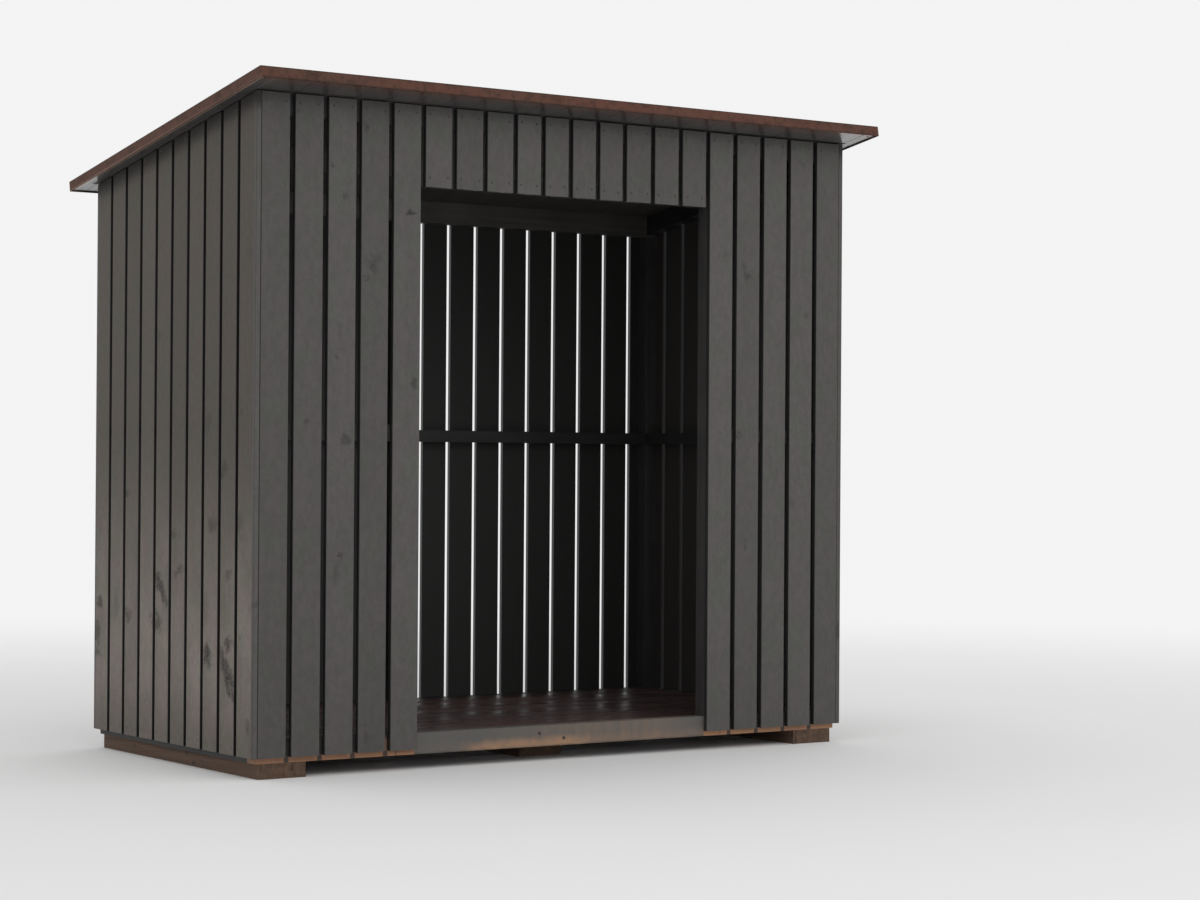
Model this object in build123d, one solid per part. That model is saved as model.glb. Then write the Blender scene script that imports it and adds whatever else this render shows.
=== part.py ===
from build123d import *
import math
import os

# Slatted log store: a timber frame on bearers, walls of spaced vertical boards,
# an open doorway in the front and a single roof slope that falls to the back.
#
# X runs along the front and Y from the front to the back, with Z up.
# The origin lies on the ground, at the middle of the roof's outline seen from above.
# All sizes are in millimetres.

# The walls, over the boards' outer faces
wall_width = 2400.0
wall_depth = 1200.0

# Ground to the roof's underside, measured at the front wall's outer face
front_soffit_height = 2188.0
roof_fall_degrees = 9.6

# Wall boards
board_thickness = 18.0
board_width = 102.0
board_gap = 18.0
board_arris = 1.5
board_top_gap = 5.0
board_foot_height = 68.0
ripped_board_count = 4

# Doorway, between the edges of the full-height boards, and down from the roof to its head
doorway_width = 1188.0
doorway_head_drop = 271.0

# Frame timbers
post_size = 50.0
top_rail_height = 72.0
mid_rail_height = 44.0
mid_rail_underside = 1089.0
lintel_height = 44.0
lintel_board_lap = 3.0
purlin_thickness = 50.0

# Floor
rim_height = 70.0
floor_board_width = 120.0
floor_board_thickness = 20.0
floor_board_gap = 5.0
joist_thickness = 50.0
joist_spacing = 450.0

# Bearers, laid flat from front to back
bearer_width = 170.0
bearer_height = 50.0
bearer_inset = 32.0
middle_bearer_setback = 150.0

# Roof, measured along and square to its slope
front_overhang = 137.0
back_overhang = 114.0
side_overhang = 56.0
deck_thickness = 30.0
deck_board_width = 107.5
deck_groove_width = 3.0
deck_groove_depth = 1.5
sheet_thickness = 4.0
sheet_setback = 12.0

# Roof edging, folded from thin plate: a flange on the deck, a face and a return below it
trim_thickness = 1.0
trim_flange = 60.0
trim_lip = 4.0
trim_return = 4.0

# Places that follow from the sizes above
fall = math.radians(roof_fall_degrees)
roof_low_reach = front_overhang * math.cos(fall) + trim_lip * math.sin(fall)
roof_high_reach = (
    wall_depth
    + back_overhang * math.cos(fall)
    + (deck_thickness + trim_thickness) * math.sin(fall)
)
front_face = (roof_low_reach - roof_high_reach) / 2
back_face = front_face + wall_depth
half_width = wall_width / 2
frame_half_width = half_width - board_thickness
frame_front = front_face + board_thickness
frame_back = back_face - board_thickness
inner_half_width = frame_half_width - post_size
inner_front = frame_front + post_size
inner_back = frame_back - post_size
rim_underside = bearer_height
floor_top = rim_underside + rim_height
doorway_head = front_soffit_height - doorway_head_drop
door_half_width = doorway_width / 2
roof_origin = (0, front_face, front_soffit_height)
soffit_normal = (0, math.sin(fall), math.cos(fall))


def soffit_height(y):
    """Height of the roof's underside at a distance along Y."""
    return front_soffit_height - (y - front_face) * math.tan(fall)


front_plate_underside = soffit_height(frame_front) - top_rail_height
back_plate_underside = soffit_height(frame_back) - top_rail_height
wall_top = front_soffit_height + board_width


def block(x_range, y_range, z_range):
    """A squared timber between three pairs of faces."""
    size = [high - low for low, high in (x_range, y_range, z_range)]
    centre = [(high + low) / 2 for low, high in (x_range, y_range, z_range)]
    return Pos(*centre) * Box(*size)


def below_soffit(solid, clearance=0.0):
    """Cuts a timber to the roof's slope, a clearance below the soffit."""
    point = (0, front_face, front_soffit_height - clearance)
    return split(solid, bisect_by=Plane(origin=point, z_dir=soffit_normal), keep=Keep.BOTTOM)


def board(x_range, y_range, foot, head=wall_top):
    """An upright board with its long arrises taken off, its head cut to the slope."""
    length = x_range[1] - x_range[0]
    width = y_range[1] - y_range[0]
    section = chamfer(Rectangle(length, width).vertices(), board_arris)
    middle = ((x_range[0] + x_range[1]) / 2, (y_range[0] + y_range[1]) / 2, foot)
    upright = Pos(*middle) * extrude(section, head - foot)
    return below_soffit(upright, board_top_gap)


def spread(low, high, width, least_gap):
    """Edges of equal boards that fill a run, with the gaps opened evenly."""
    count = int((high - low + least_gap) / (width + least_gap))
    gap = (high - low - count * width) / (count - 1)
    return [(low + i * (width + gap), low + i * (width + gap) + width) for i in range(count)]


def run_of_boards(low, widths):
    """Edges of boards of given widths, one board gap apart."""
    edges = []
    start = low
    for width in widths:
        edges.append((start, start + width))
        start += width + board_gap
    return edges


def whole_wall_run(low, high):
    """Equal boards along a wall, with the two corner boards cut or left wide to fill it."""
    count = round((high - low + board_gap) / (board_width + board_gap))
    spare = (high - low) - (count * (board_width + board_gap) - board_gap)
    corner = board_width + spare / 2
    return run_of_boards(low, [corner] + [board_width] * (count - 2) + [corner])


def over_door_run():
    """Boards over the doorway, with the middle ones ripped down to fill it."""
    low = board_gap - door_half_width
    span = -2 * low
    count = math.ceil((span + board_gap) / (board_width + board_gap))
    excess = count * (board_width + board_gap) - board_gap - span
    ripped = board_width - excess / ripped_board_count
    outer = (count - ripped_board_count) // 2
    widths = [board_width] * outer + [ripped] * ripped_board_count
    return run_of_boards(low, widths + [board_width] * (count - len(widths)))


def make_bearers():
    """Three flat bearers: one near each side and one set back in the middle."""
    outer = half_width - bearer_inset
    inner = outer - bearer_width
    height = (0, bearer_height)
    middle = (-bearer_width / 2, bearer_width / 2)
    return {
        "bearer_left": [block((-outer, -inner), (frame_front, frame_back), height)],
        "bearer_middle": [block(middle, (frame_front + middle_bearer_setback, frame_back), height)],
        "bearer_right": [block((inner, outer), (frame_front, frame_back), height)],
    }


def make_rim():
    """Edge timbers of the floor, with the posts standing on them."""
    height = (rim_underside, floor_top)
    whole = (-frame_half_width, frame_half_width)
    between = (inner_front, inner_back)
    return {
        "front_sill": [block(whole, (frame_front, inner_front), height)],
        "back_rim": [block(whole, (inner_back, frame_back), height)],
        "left_rim": [block((-frame_half_width, -inner_half_width), between, height)],
        "right_rim": [block((inner_half_width, frame_half_width), between, height)],
    }


def make_floor():
    """Joists from front to back, one of them in the middle, with spaced boards across them."""
    joist_top = floor_top - floor_board_thickness
    first = -inner_half_width
    bays = 2 * math.ceil(inner_half_width / joist_spacing)
    pitch = (2 * inner_half_width - joist_thickness) / bays
    joists = []
    for i in range(bays + 1):
        side = first + i * pitch
        span = (side, side + joist_thickness)
        joists.append(block(span, (inner_front, inner_back), (rim_underside, joist_top)))
    rows = spread(inner_front, inner_back, floor_board_width, floor_board_gap)
    length = (-inner_half_width, inner_half_width)
    boards = [block(length, row, (joist_top, floor_top)) for row in rows]
    return {"floor_joists": joists, "floor_boards": boards}


def make_posts():
    """Corner posts, the two posts of the doorway and one in the middle of the back."""
    front = (frame_front, inner_front)
    back = (inner_back, frame_back)
    left = (-frame_half_width, -inner_half_width)
    right = (inner_half_width, frame_half_width)
    door_left = (-door_half_width - post_size, -door_half_width)
    door_right = (door_half_width, door_half_width + post_size)
    middle = (-post_size / 2, post_size / 2)
    tall = (floor_top, front_plate_underside)
    low = (floor_top, back_plate_underside)
    return {
        "front_left_post": [block(left, front, tall)],
        "front_right_post": [block(right, front, tall)],
        "door_left_post": [block(door_left, front, tall)],
        "door_right_post": [block(door_right, front, tall)],
        "back_left_post": [block(left, back, low)],
        "back_right_post": [block(right, back, low)],
        "back_middle_post": [block(middle, back, low)],
    }


def side_top_rail(x_range):
    """A rail under the roof's side edge, parallel to the slope."""
    span = (inner_front, inner_back)
    rail = below_soffit(block(x_range, span, (back_plate_underside - wall_depth, wall_top)))
    floor_plane = Plane(
        origin=(0, front_face, front_soffit_height - top_rail_height), z_dir=soffit_normal
    )
    return split(rail, bisect_by=floor_plane, keep=Keep.TOP)


def make_top_rails():
    """The ring of rails under the roof, the purlin and the lintel over the doorway."""
    whole = (-frame_half_width, frame_half_width)
    between = (-inner_half_width, inner_half_width)
    front = (frame_front, inner_front)
    purlin_low = (front_face + back_face - purlin_thickness) / 2
    purlin_high = purlin_low + purlin_thickness
    purlin_underside = soffit_height(purlin_low) - top_rail_height
    lintel_underside = doorway_head + lintel_board_lap
    door_span = (-door_half_width, door_half_width)
    lintel_range = (lintel_underside, lintel_underside + lintel_height)
    front_plate = block(whole, front, (front_plate_underside, wall_top))
    back_plate = block(whole, (inner_back, frame_back), (back_plate_underside, wall_top))
    purlin = block(between, (purlin_low, purlin_high), (purlin_underside, wall_top))
    return {
        "front_top_rail": [below_soffit(front_plate)],
        "back_top_rail": [below_soffit(back_plate)],
        "left_top_rail": [side_top_rail((-frame_half_width, -inner_half_width))],
        "right_top_rail": [side_top_rail((inner_half_width, frame_half_width))],
        "roof_purlin": [below_soffit(purlin)],
        "door_lintel": [block(door_span, front, lintel_range)],
    }


def make_mid_rails():
    """Rails at half height between the posts, behind the boards."""
    height = (mid_rail_underside, mid_rail_underside + mid_rail_height)
    front = (frame_front, inner_front)
    back = (inner_back, frame_back)
    sides = (inner_front, inner_back)
    past_door = door_half_width + post_size
    half_post = post_size / 2
    return {
        "front_left_mid_rail": [block((-inner_half_width, -past_door), front, height)],
        "front_right_mid_rail": [block((past_door, inner_half_width), front, height)],
        "left_mid_rail": [block((-frame_half_width, -inner_half_width), sides, height)],
        "right_mid_rail": [block((inner_half_width, frame_half_width), sides, height)],
        "back_left_mid_rail": [block((-inner_half_width, -half_post), back, height)],
        "back_right_mid_rail": [block((half_post, inner_half_width), back, height)],
    }


def make_wall_boards():
    """Spaced upright boards on all four sides, outside the frame."""
    front = (front_face, frame_front)
    back = (frame_back, back_face)
    left = (-half_width, -frame_half_width)
    right = (frame_half_width, half_width)
    foot = board_foot_height
    beside = spread(-frame_half_width, -door_half_width, board_width, board_gap)
    mirrored = [(-high, -low) for low, high in beside]
    side_run = whole_wall_run(front_face, back_face)
    back_run = whole_wall_run(-frame_half_width, frame_half_width)
    return {
        "front_left_boards": [board(x, front, foot) for x in beside],
        "front_right_boards": [board(x, front, foot) for x in mirrored],
        "over_door_boards": [board(x, front, doorway_head) for x in over_door_run()],
        "left_wall_boards": [board(left, y, foot) for y in side_run],
        "right_wall_boards": [board(right, y, foot) for y in side_run],
        "back_wall_boards": [board(x, back, foot) for x in back_run],
    }


def deck_section():
    """Cross-section of the deck: boards laid from the right, with a notch under each joint."""
    count = math.ceil(wall_width / deck_board_width)
    notch = deck_groove_width / 2
    points = [(-half_width, deck_groove_depth), (-half_width + notch, 0)]
    for i in reversed(range(1, count)):
        seam = half_width - i * deck_board_width
        points += [(seam - notch, 0), (seam, deck_groove_depth), (seam + notch, 0)]
    points += [(half_width - notch, 0), (half_width, deck_groove_depth)]
    points += [(half_width, deck_thickness), (-half_width, deck_thickness)]
    return make_face(Polyline(points, close=True))


def verge_section(outer):
    """Cross-section of the right verge board, half of the notch at its joint with the deck."""
    notch = deck_groove_width / 2
    points = [
        (half_width + notch, 0),
        (outer, 0),
        (outer, deck_thickness),
        (half_width, deck_thickness),
        (half_width, deck_groove_depth),
    ]
    return make_face(Polyline(points, close=True))


def front_trim(half_span, low):
    """Folded edging along the front: its face, its flange on the deck and its return."""
    whole = (-half_span, half_span)
    top = deck_thickness + trim_thickness
    inner = low + trim_thickness
    face = block(whole, (low, inner), (-trim_lip, top))
    flange = block(whole, (inner, low + trim_flange), (deck_thickness, top))
    fold_span = (trim_thickness - half_span, half_span - trim_thickness)
    fold_height = (-trim_lip, trim_thickness - trim_lip)
    fold = block(fold_span, (inner, low + trim_return), fold_height)
    return face + flange + fold


def right_trim(half_span, low, high):
    """Folded edging along the right side, butted between the front and back ones."""
    top = deck_thickness + trim_thickness
    inner = half_span - trim_thickness
    face_run = (low + trim_thickness, high - trim_thickness)
    flange_run = (low + trim_flange, high - trim_flange)
    fold_run = (low + trim_return, high - trim_return)
    face = block((inner, half_span), face_run, (-trim_lip, deck_thickness))
    flange = block((half_span - trim_flange, half_span), flange_run, (deck_thickness, top))
    fold_height = (-trim_lip, trim_thickness - trim_lip)
    fold = block((half_span - trim_return, inner), fold_run, fold_height)
    return face + flange + fold


def sheet(half_span, low, high):
    """The roof sheet, laid on the deck and over the edging's flanges."""
    top = deck_thickness + trim_thickness
    edge = half_span - sheet_setback
    edge_run = (low + sheet_setback, high - sheet_setback)
    inside = half_span - trim_flange
    inside_run = (low + trim_flange, high - trim_flange)
    over = block((-edge, edge), edge_run, (top, top + sheet_thickness))
    return over + block((-inside, inside), inside_run, (deck_thickness, top))


def make_roof():
    """Deck, verge boards, edging and the sheet on top, made level and then tilted."""
    half_span = half_width + side_overhang
    low = -front_overhang
    high = wall_depth / math.cos(fall) + back_overhang
    middle = Plane.XZ.offset(-(low + high) / 2)
    inner_run = high - low - 2 * trim_thickness
    place = Pos(0, high - trim_thickness, 0)
    deck = place * extrude(Plane.XZ * deck_section(), inner_run)
    verge = place * extrude(Plane.XZ * verge_section(half_span - trim_thickness), inner_run)
    front = front_trim(half_span, low)
    right = right_trim(half_span, low, high)
    level = {
        "roof_deck": deck,
        "left_verge_board": mirror(verge, about=Plane.YZ),
        "right_verge_board": verge,
        "front_edge_trim": front,
        "back_edge_trim": mirror(front, about=middle),
        "left_edge_trim": mirror(right, about=Plane.YZ),
        "right_edge_trim": right,
        "roof_sheet": sheet(half_span, low, high),
    }
    tilt = Location(roof_origin, (-roof_fall_degrees, 0, 0))
    return {name: [tilt * solid] for name, solid in level.items()}


def make_store():
    """Every node of the store with its solids."""
    nodes = {}
    for group in (
        make_bearers(),
        make_rim(),
        make_floor(),
        make_posts(),
        make_top_rails(),
        make_mid_rails(),
        make_wall_boards(),
        make_roof(),
    ):
        nodes.update(group)
    return nodes


os.makedirs("parts", exist_ok=True)
for name, solids in make_store().items():
    shape = solids[0] if len(solids) == 1 else Compound(children=solids)
    export_step(shape, f"parts/{name}.step")
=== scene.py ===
# %% [markdown]
# # A slatted log store
#
# The store is a timber frame on bearers. Its walls are upright boards with gaps between
# them, so that air dries the wood inside. The doorway has no door, and the roof falls to
# the back. The frame, boards and roof arrive as finished solids. This lesson adds what a
# painter and a carpenter's screwdriver leave on them: paint, stain, bare timber and screws.

# %% Load the frame
import math

import bmesh
import bpy
import numpy as np
from mathutils import Matrix, Vector


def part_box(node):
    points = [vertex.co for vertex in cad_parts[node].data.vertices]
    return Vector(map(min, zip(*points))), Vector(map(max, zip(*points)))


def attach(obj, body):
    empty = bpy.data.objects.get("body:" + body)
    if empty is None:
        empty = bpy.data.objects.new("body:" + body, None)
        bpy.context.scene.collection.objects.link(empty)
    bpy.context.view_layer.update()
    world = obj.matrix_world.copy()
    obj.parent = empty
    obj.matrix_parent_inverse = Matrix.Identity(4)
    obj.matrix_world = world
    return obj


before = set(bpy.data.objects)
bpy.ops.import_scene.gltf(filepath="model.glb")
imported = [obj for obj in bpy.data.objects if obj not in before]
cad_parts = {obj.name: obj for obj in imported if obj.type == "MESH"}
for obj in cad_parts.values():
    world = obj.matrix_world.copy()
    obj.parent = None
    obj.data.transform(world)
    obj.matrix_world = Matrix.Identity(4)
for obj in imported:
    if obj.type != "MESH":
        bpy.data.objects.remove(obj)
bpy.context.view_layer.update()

# %% [markdown]
# ## Reading places off the frame
#
# Masks and screws need to know where each board begins and ends. The numbers could be typed
# in, but then a change of one width would leave them behind, so they are read off the
# meshes. A wall node holds several boards, and each board's mesh has only its own corners.
# A taken-off arris gives four values across each board: two at either edge.

# %% Board edges
edge_tolerance = 0.001


def corner_places(node):
    """All vertices of a node as an array with one row for each vertex."""
    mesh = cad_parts[node].data
    flat = np.empty(len(mesh.vertices) * 3)
    mesh.vertices.foreach_get("co", flat)
    return flat.reshape(-1, 3)


def board_edges(node, axis):
    """Low and high edge of each board along an axis: first and last of its four values."""
    values = np.unique(np.round(corner_places(node)[:, axis], 4))
    return values.reshape(-1, 4)[:, [0, 3]]


def board_tops(node, axis, edges):
    """Top of each board: the largest height among the vertices between its edges."""
    places = corner_places(node)
    along = places[:, axis]
    limits = edges + np.array([-edge_tolerance, edge_tolerance])
    return np.array([places[(along > low) & (along < high), 2].max() for low, high in limits])


front_edges = board_edges("front_right_boards", 0)
over_edges = board_edges("over_door_boards", 0)
side_edges = board_edges("left_wall_boards", 1)
print("boards right of the doorway, in metres:", front_edges.tolist())

# %% [markdown]
# ## Sizes of the walls
#
# A few sizes of the whole store serve nearly every finish below: where the outer faces lie,
# how thick the boards are and where they end. They come from the boxes round the nodes, for
# the same reason as the edges, and are kept here so that each is read only once.

# %% Wall sizes
front_low, front_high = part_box("front_left_boards")
left_low, left_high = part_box("left_wall_boards")
back_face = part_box("back_wall_boards")[1][1]
front_face = front_low[1]
board_thickness = front_high[1] - front_low[1]
board_foot = front_low[2]
door_edge = -front_high[0]
half_front = -left_low[0]
middle_depth = (left_low[1] + left_high[1]) / 2
half_depth = (left_high[1] - left_low[1]) / 2
front_pitch = front_edges[1][0] - front_edges[0][0]
front_gap = front_edges[1][0] - front_edges[0][1]
over_pitch = over_edges[1][0] - over_edges[0][0]
side_pitch = side_edges[2][0] - side_edges[1][0]
print("half front:", round(half_front, 4), "half depth:", round(half_depth, 4))
print("doorway half width:", round(door_edge, 4), "board foot:", round(board_foot, 4))

# %% [markdown]
# ## The camera
#
# The camera could be pushed about by eye until the store looks right. Here its place,
# heading, tilt and roll were worked out instead, by fitting board edges, wall corners and
# rails to their places in the photograph. Its place is measured from the foot of the near
# front corner. A long lens far away keeps the boards nearly parallel, which is why the
# store looks calm and flat in the picture.

# %% Camera
near_corner = Vector((left_low[0], front_face, board_foot))
camera_offset = Vector((-3.9987, -7.6918, 0.9338))
camera_place = near_corner + camera_offset
camera_heading = math.radians(34.701)
camera_tilt = math.radians(0.337)
camera_roll = math.radians(0.376)
camera_lens = 81.72
sensor_width = 36.0
sight_limit = 200.0


def camera_axes(heading, tilt, roll):
    """Right, up and forward. Heading turns from +Y towards +X, tilt lifts, roll leans right."""
    forward = Vector(
        (math.sin(heading) * math.cos(tilt), math.cos(heading) * math.cos(tilt), math.sin(tilt))
    )
    level = Vector((math.cos(heading), -math.sin(heading), 0.0))
    upright = level.cross(forward)
    right = level * math.cos(roll) + upright * math.sin(roll)
    up = upright * math.cos(roll) - level * math.sin(roll)
    return right, up, forward


camera_data = bpy.data.cameras.new("camera")
camera_data.lens = camera_lens
camera_data.sensor_width = sensor_width
camera_data.sensor_fit = "HORIZONTAL"
camera_data.clip_end = sight_limit
camera = bpy.data.objects.new("camera", camera_data)
right, up, forward = camera_axes(camera_heading, camera_tilt, camera_roll)
turn = Matrix((right, up, -forward)).transposed().to_4x4()
camera.matrix_world = Matrix.Translation(camera_place) @ turn
bpy.context.scene.collection.objects.link(camera)
bpy.context.scene.camera = camera
print("camera at", [round(v, 3) for v in camera_place])

# %% [markdown]
# ## Colours as a screen shows them
#
# A colour read off a photograph is a screen value from 0 to 255, but shaders reckon in
# linear light, where a mid grey is only a fifth of white. The colours could be written in
# linear light, but then nobody could hold them against the photograph. So they are written
# as a screen shows them, and one function turns them.


# %% Colours
def paint(red, green, blue):
    """A colour read off a screen, 0 to 255, as the linear values that shaders use."""
    scaled = np.array([red, green, blue]) / 255.0
    curve = ((scaled + 0.055) / 1.055) ** 2.4
    linear = np.where(scaled <= 0.04045, scaled / 12.92, curve)
    return (*linear.tolist(), 1.0)


def plain(value):
    """A grey given in linear light. Used as a tint, 1 leaves a colour as it is."""
    return (value, value, value, 1.0)


print("a mid grey written as 128 is", round(paint(128, 128, 128)[0], 3), "in linear light")

# %% [markdown]
# ## Sockets with arithmetic
#
# A material is a graph of nodes. Written out socket by socket it hides the idea, so one
# small class wraps an output socket and lets Python's own signs add the Math nodes:
# `1 - mask` or `grain * 0.3 + 0.5` read as they would on paper.


# %% Wires
class Wire:
    """An output socket whose arithmetic adds Math nodes to its own graph."""

    def __init__(self, graph, socket):
        self.graph = graph
        self.socket = socket

    def __add__(self, other):
        return self.graph.math("ADD", self, other)

    def __radd__(self, other):
        return self.graph.math("ADD", other, self)

    def __sub__(self, other):
        return self.graph.math("SUBTRACT", self, other)

    def __rsub__(self, other):
        return self.graph.math("SUBTRACT", other, self)

    def __mul__(self, other):
        return self.graph.math("MULTIPLY", self, other)

    def __rmul__(self, other):
        return self.graph.math("MULTIPLY", other, self)

    def __truediv__(self, other):
        return self.graph.math("DIVIDE", self, other)

    def __rtruediv__(self, other):
        return self.graph.math("DIVIDE", other, self)

    def __abs__(self):
        return self.graph.math("ABSOLUTE", self)

    def above(self, limit):
        """1 where the value is over the limit, else 0."""
        return self.graph.math("GREATER_THAN", self, limit)

    def ramp(self, low, high, start=0.0, end=1.0):
        """A smooth step from start at low to end at high."""
        settings = {"interpolation_type": "SMOOTHSTEP"}
        inputs = {"Value": self, "From Min": low, "From Max": high}
        inputs.update({"To Min": start, "To Max": end})
        return self.graph.node("ShaderNodeMapRange", settings, inputs)


print("signs that add nodes:", [name for name in vars(Wire) if name.startswith("__r")])

# %% [markdown]
# ## One finish and its graph
#
# Every paint and timber below is one material. Each could be built by hand in the shader
# editor, but many steps are the same: a noise, a mix of two colours, a tint. A second class
# holds one material and offers these steps by name, and any other node comes from its
# method `node`.


# %% Finishes
class Finish:
    """One material and the graph that draws it."""

    def __init__(self, name):
        self.material = bpy.data.materials.new(name)
        self.material.use_nodes = True
        self.tree = self.material.node_tree
        self.tree.nodes.clear()
        self.place = self.node("ShaderNodeTexCoord", out="Object")
        self.x, self.y, self.z = self.split(self.place)

    def node(self, kind, settings=None, inputs=None, out=0):
        """Adds any node: its settings first, then the values or links of its sockets."""
        made = self.tree.nodes.new(kind)
        for key, value in (settings or {}).items():
            setattr(made, key, value)
        for key, value in (inputs or {}).items():
            if isinstance(value, Wire):
                self.tree.links.new(value.socket, made.inputs[key])
            else:
                made.inputs[key].default_value = value
        return Wire(self, made.outputs[out]) if made.outputs else made

    def math(self, operation, *values):
        return self.node("ShaderNodeMath", {"operation": operation}, dict(enumerate(values)))

    def most(self, first, *others):
        """The largest of several values at each point."""
        for other in others:
            first = self.math("MAXIMUM", first, other)
        return first

    def split(self, vector):
        """The three parts of a vector."""
        made = self.node("ShaderNodeSeparateXYZ", inputs={"Vector": vector})
        outputs = made.socket.node.outputs
        return tuple(Wire(self, outputs[axis]) for axis in "XYZ")

    def join(self, x, y, z):
        return self.node("ShaderNodeCombineXYZ", inputs={"X": x, "Y": y, "Z": z})

    def length(self, vector):
        settings = {"operation": "LENGTH"}
        return self.node("ShaderNodeVectorMath", settings, {0: vector}, out="Value")

    def mix(self, factor, first, second, blend="MIX"):
        """Second over first by a factor, for colours."""
        settings = {"data_type": "RGBA", "blend_type": blend}
        return self.node("ShaderNodeMix", settings, {0: factor, 6: first, 7: second}, out=2)

    def tinted(self, colour, factor, low, high):
        """A colour multiplied by a tint that goes from low to high with a factor."""
        return self.mix(1.0, colour, self.mix(factor, low, high), "MULTIPLY")

    def noise(self, vector, scale, detail=3.0, roughness=0.55, out=0):
        inputs = {"Vector": vector, "Scale": scale, "Detail": detail, "Roughness": roughness}
        return self.node("ShaderNodeTexNoise", inputs=inputs, out=out)

    def chance(self, number):
        """A fixed random value from 0 to 1 for each whole number."""
        settings = {"noise_dimensions": "1D"}
        return self.node("ShaderNodeTexWhiteNoise", settings, {"W": number}, out="Value")

    def close(self, colour, roughness, height, depth, **fixed):
        """Ends the graph in a Principled shader. Height times depth is the relief in metres."""
        relief = {"Height": height, "Distance": depth, "Strength": 1.0}
        normal = self.node("ShaderNodeBump", inputs=relief)
        inputs = {"Base Color": colour, "Roughness": roughness, "Normal": normal}
        inputs.update({key.replace("_", " "): value for key, value in fixed.items()})
        surface = self.node("ShaderNodeBsdfPrincipled", inputs=inputs)
        self.node("ShaderNodeOutputMaterial", inputs={"Surface": surface})
        return self.material


print("steps of a finish:", [name for name in vars(Finish) if not name.startswith("__")])

# %% [markdown]
# ## Grain and knots
#
# Softwood grain runs along a board, and small knots show through thin paint. A photograph
# of wood could be laid on, but it would repeat from board to board. Noise doesn't, and once
# its coordinates are squeezed along the grain, the same noise serves every timber. Each
# board is cut from another trunk, so a number of its own shifts the noise. A cell pattern
# scatters the knots.

# %% Grain and knots
grain_squeeze = 1 / 30
fibre_scale = 420.0
band_scale = 55.0
knot_cells_across = 6.5
knot_cells_up = 5.0
clear_share = 0.8


def grain_of(finish, along, shift=0.0):
    """Fine fibres and broader bands: two noises over squeezed and shifted coordinates."""
    squeeze = [1.0, 1.0, 1.0]
    squeeze["xyz".index(along)] = grain_squeeze
    parts = zip((finish.x, finish.y, finish.z), squeeze)
    where = finish.join(*[part * factor + shift for part, factor in parts])
    return finish.noise(where, fibre_scale, 4.0, 0.6), finish.noise(where, band_scale, 2.0, 0.5)


def knots_of(finish, run, shift):
    """Small knots. Cells are about 150 mm wide and 200 mm high, and a fifth of them hold a
    round mark: it is dark where its own size is more than the distance from its middle."""
    where = finish.join((run + shift) * knot_cells_across, shift, finish.z * knot_cells_up)
    settings = {"feature": "F1", "voronoi_dimensions": "3D"}
    inputs = {"Vector": where, "Scale": 1.0, "Randomness": 0.9}
    cells = finish.node("ShaderNodeTexVoronoi", settings, inputs, out="Distance")
    pick = finish.split(Wire(finish, cells.socket.node.outputs["Color"]))[0]
    size = pick.ramp(clear_share, 1.0, 0.03, 0.09)
    return (size - cells).ramp(0.0, 0.05) * pick.above(clear_share)


print("fibres are stretched", round(1 / grain_squeeze), "times along the grain")

# %% [markdown]
# ## Ragged smudges
#
# Dark smudges are damp stains and large knots bleeding through. Noise alone could make
# such marks, but it would put them anywhere. So each is an oval at a given place, and noise
# only spoils its shape: a slow one pulls it askew, a finer one frays its rim, and the
# finest breaks it into flecks.

# %% Smudge shapes
smudge_depth = 1.75
smudge_pull = 0.05
smudge_fray = 5.5
pull_scale, fray_scale, fleck_scale = 17.0, 40.0, 110.0


def smudges_of(finish, run, height, smudges):
    """How dark the smudges are at each point.

    Each is given by its middle along the wall, middle height, half width, half height, lean
    and strength. The squares of the distances across and up, in half widths and half
    heights, add up to a reach, and the smudge is where that reach plus a noise is small.
    Where smudges overlap, the strongest counts.
    """
    pull = finish.noise(finish.place, pull_scale, 3.0, 0.6, "Color")
    pull_run, pull_up, _ = finish.split(pull)
    run = run + (pull_run - 0.5) * smudge_pull
    height = height + (pull_up - 0.5) * smudge_pull * 2
    fray = (finish.noise(finish.place, fray_scale, 6.0, 0.75) - 0.5) * smudge_fray
    flecks = finish.noise(finish.place, fleck_scale, 4.0, 0.7).ramp(0.35, 0.6, 0.45, 1.0)
    spots = []
    for along, up, half_wide, half_high, lean, strength in smudges:
        rise = (height - up) / half_high
        across = (run - along) / half_wide + rise * lean
        reach = across * across + rise * rise + fray
        spots.append(reach.ramp(1.9, -0.2, 0.0, min(1.0, strength * smudge_depth)))
    return flecks * finish.most(0.0, *spots)


print("smudges are pulled askew by up to", smudge_pull / 2, "m along the wall")

# %% [markdown]
# ## Where a wall's outside ends
#
# Each wall is painted in place, and its outer face has the full coat. The boards' edges are
# much darker: painted shade of the gaps. Their inner faces have a darker coat, partly
# painted shade of the store's inside. The faces could be picked out and given materials of
# their own, but masks on coordinates need no picking: the depth below the outer face tells
# the outside from the edges. At the corners the side wall's board laps the front one, and
# dirt in the joint between them draws a thin dark line. The front's coat was brushed a
# little way round the corner.

# %% Masks for the outside of a wall
skin_start, skin_end = 0.0002, 0.0009
corner_coat_start, corner_coat_end = 0.009, 0.015
joint_place = half_front - board_thickness
joint_rim, joint_core = 0.0022, 0.0012
halves_blend = 0.1


def left_to_right(finish, left, right):
    """One value on the store's left half and another on its right, blended in the middle."""
    return finish.x.ramp(-halves_blend, halves_blend, left, right)


def depth_in_long_wall(finish):
    """Distance behind the outer face of the front or back wall."""
    return half_depth - abs(finish.y - middle_depth)


def depth_in_side_wall(finish):
    """Distance behind the outer face of a side wall."""
    return half_front - abs(finish.x)


def long_wall_edges(finish):
    """1 behind the outer skin of the front and back walls."""
    return depth_in_long_wall(finish).ramp(skin_start, skin_end)


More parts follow.
